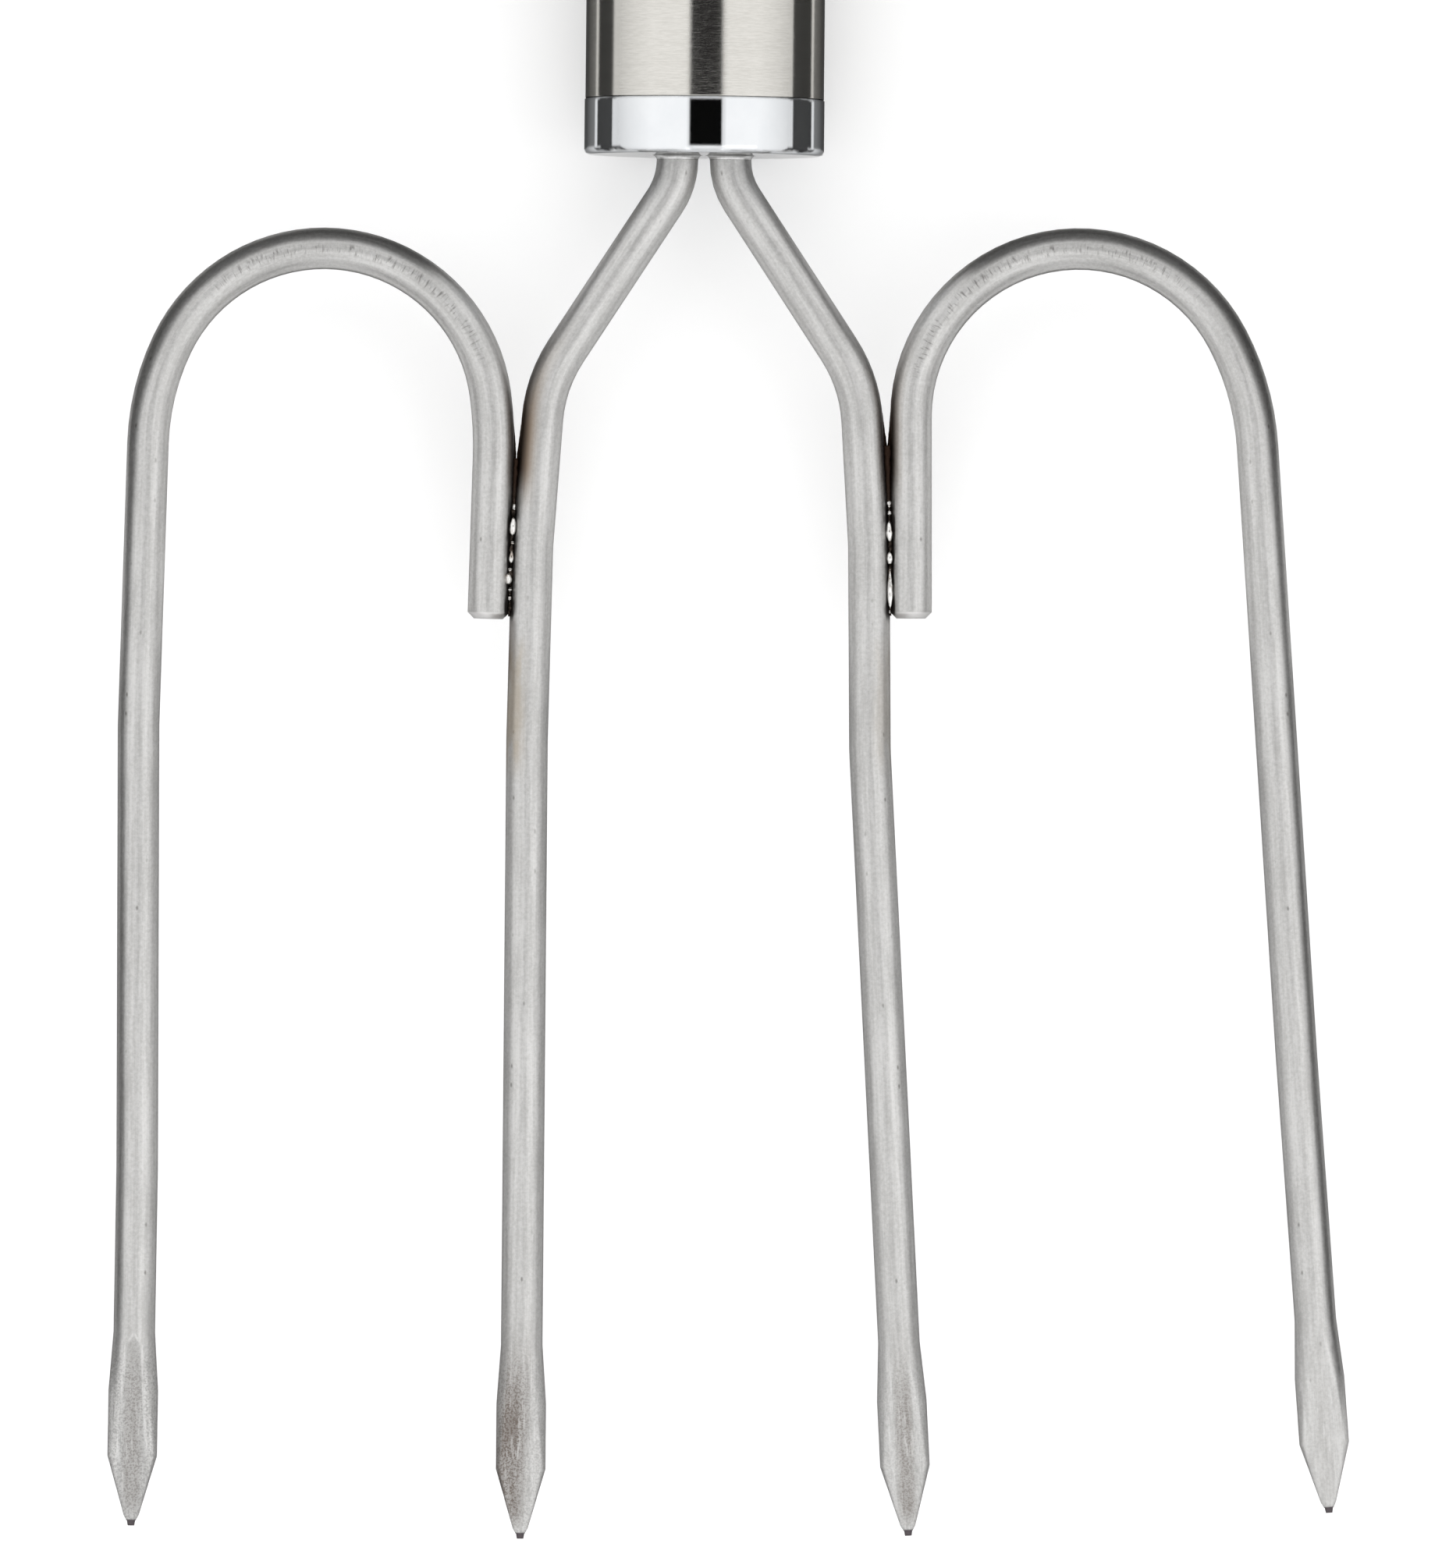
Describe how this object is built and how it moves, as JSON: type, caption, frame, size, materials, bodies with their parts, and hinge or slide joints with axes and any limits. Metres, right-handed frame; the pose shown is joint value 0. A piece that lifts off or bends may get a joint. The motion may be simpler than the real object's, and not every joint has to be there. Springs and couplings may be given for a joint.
{
  "type": "lifting fork",
  "caption": "Lifting fork with a tubular steel handle and spear-tipped wire tines, for lifting and holding roasts and poultry.",
  "frame": {"origin": "on the handle's axis, at the middle of the tube that the hand holds", "axes": "+Y along the handle towards its butt, so the tines point along -Y; +X across the tines; +Z square to the flat plane of the tines"},
  "size_m": [0.1193, 0.2621, 0.023],
  "materials": {
    "brushed_tube": "brushed round the tube",
    "polished_cap": "mirror polished",
    "satin_rod": "satin, drawn along the rod",
    "weld_metal": "as welded"
  },
  "bodies": {
    "root": {"handle_tube": "brushed_tube", "front_collar": "polished_cap", "rear_cap": "polished_cap", "tang_weld": "weld_metal", "collar_welds": "weld_metal", "inner_tine_left": "satin_rod", "inner_tine_right": "satin_rod", "outer_tine_left": "satin_rod", "outer_tine_right": "satin_rod", "weld_left_top": "weld_metal", "weld_left_bottom": "weld_metal", "weld_right_top": "weld_metal", "weld_right_bottom": "weld_metal"}
  },
  "joints": []
}
